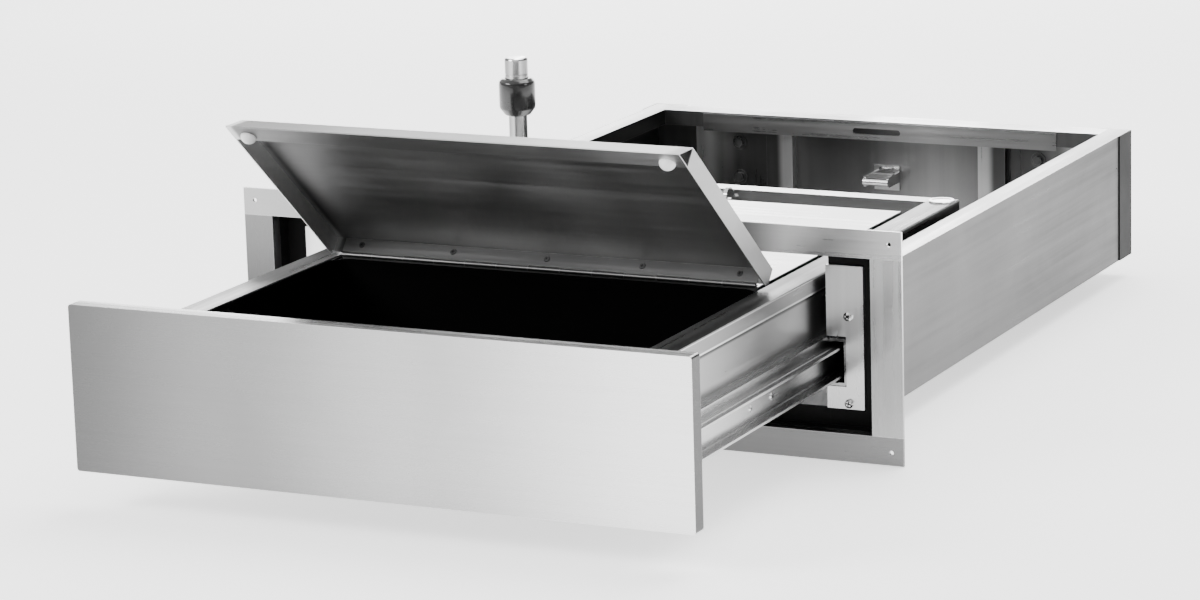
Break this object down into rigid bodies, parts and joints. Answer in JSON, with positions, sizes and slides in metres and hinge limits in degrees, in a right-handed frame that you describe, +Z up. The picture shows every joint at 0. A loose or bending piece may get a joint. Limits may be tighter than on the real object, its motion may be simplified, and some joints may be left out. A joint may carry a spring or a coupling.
{
  "type": "deposit drawer",
  "caption": "Through-wall deposit drawer on ball slides, with a hinged cover over a black tub, a release handle at the rear and a trimmed housing.",
  "frame": {"origin": "Middle of the wall trim's back face, in the plane that lies on the wall.", "axes": "+X to the customer's right, +Y into the wall along the drawer's travel, +Z up."},
  "size_m": [0.736, 1.292, 0.3495],
  "materials": {
    "face_steel": "satin brushed stainless sheet",
    "cover_steel": "satin brushed stainless sheet",
    "drawer_steel": "satin brushed stainless sheet",
    "deck_steel": "fine satin stainless sheet",
    "housing_steel": "plain mill-finish stainless sheet",
    "dark_steel": "dark satin paint",
    "bracket_steel": "light zinc-plated sheet",
    "slide_steel": "bright zinc-plated rolled steel",
    "ball_steel": "polished balls in a dark retainer",
    "screw_steel": "bright plated",
    "dark_fastener": "dark oxide",
    "hinge_steel": "satin stainless",
    "bright_steel": "bright polished plating",
    "tub_black": "black moulded liner",
    "grip_black": "black moulded grip",
    "pad_white": "white rubber pads"
  },
  "bodies": {
    "housing": {"trim_top": "face_steel", "trim_bottom": "face_steel", "trim_left": "face_steel", "trim_right": "face_steel", "sleeve_top": "dark_steel", "sleeve_bottom": "dark_steel", "sleeve_left": "dark_steel", "sleeve_right": "dark_steel", "front_plate_left": "bracket_steel", "front_plate_right": "bracket_steel", "plate_screws": "screw_steel", "housing_left": "housing_steel", "housing_right": "housing_steel", "housing_floor": "housing_steel", "housing_rear": "housing_steel", "rear_strip": "housing_steel", "corner_strip_left": "dark_steel", "corner_strip_right": "dark_steel", "rear_bracket_left": "bracket_steel", "rear_bracket_right": "bracket_steel", "rear_bolts": "dark_fastener", "keeper": "bright_steel", "slide_mount_left": "bracket_steel", "slide_mount_right": "bracket_steel", "slide_outer_left": "slide_steel", "slide_outer_right": "slide_steel", "slide_screws": "screw_steel"},
    "drawer": {"front_panel": "face_steel", "drawer_side_left": "drawer_steel", "drawer_side_right": "drawer_steel", "front_deck_plate": "drawer_steel", "drawer_back": "drawer_steel", "drawer_bottom": "drawer_steel", "rear_deck_plate": "deck_steel", "recess_pan": "deck_steel", "slide_inner_left": "slide_steel", "slide_inner_right": "slide_steel", "rail_spacer_left": "slide_steel", "rail_spacer_right": "slide_steel", "rail_screws": "screw_steel", "rim_disc_left": "screw_steel", "rim_disc_right": "screw_steel", "hinge_leaf_fixed": "hinge_steel", "hinge_pin": "hinge_steel", "handle_post": "bright_steel", "latch_ears": "bright_steel", "deposit_tub": "tub_black", "handle_grip": "grip_black"},
    "cover": {"cover_pan": "cover_steel", "hinge_leaf_cover": "hinge_steel", "hinge_screws_cover": "dark_fastener", "cover_pads": "pad_white"},
    "cage_left": {"ball_cage_left": "ball_steel"},
    "cage_right": {"ball_cage_right": "ball_steel"},
    "button": {"release_button": "bright_steel", "release_rod": "bright_steel"},
    "latch": {"cross_shaft": "bright_steel", "latch_hook": "bright_steel"}
  },
  "joints": [
    {"name": "drawer_slide", "type": "slide", "parent": "housing", "child": "drawer", "axis": [0, 1, 0], "range_m": [0, 0.085]},
    {"name": "cover_hinge", "type": "hinge", "parent": "drawer", "child": "cover", "pos_m": [0, -0.042, 0.0635], "axis": [1, 0, 0], "range_deg": [0, 40.6], "stiffness_Nm_per_rad": 1.5, "springref_deg": -68.75},
    {"name": "cage_roll_left", "type": "slide", "parent": "housing", "child": "cage_left", "axis": [0, 1, 0], "range_m": [0, 0.0425]},
    {"name": "cage_roll_right", "type": "slide", "parent": "housing", "child": "cage_right", "axis": [0, 1, 0], "range_m": [0, 0.0425]},
    {"name": "button_press", "type": "slide", "parent": "drawer", "child": "button", "axis": [0, 0, -1], "range_m": [0, 0.006], "stiffness_N_per_m": 900, "springref_m": -0.006},
    {"name": "latch_turn", "type": "hinge", "parent": "drawer", "child": "latch", "pos_m": [0, 0.38675, 0.05], "axis": [-1, 0, 0], "range_deg": [0, 19.1]}
  ],
  "couplings": [
    {"joint": "cover_hinge", "follows": "drawer_slide", "rad_per_m": 8.336},
    {"joint": "cage_roll_left", "follows": "drawer_slide", "ratio": 0.5},
    {"joint": "cage_roll_right", "follows": "drawer_slide", "ratio": 0.5},
    {"joint": "latch_turn", "follows": "button_press", "rad_per_m": 55.55}
  ]
}
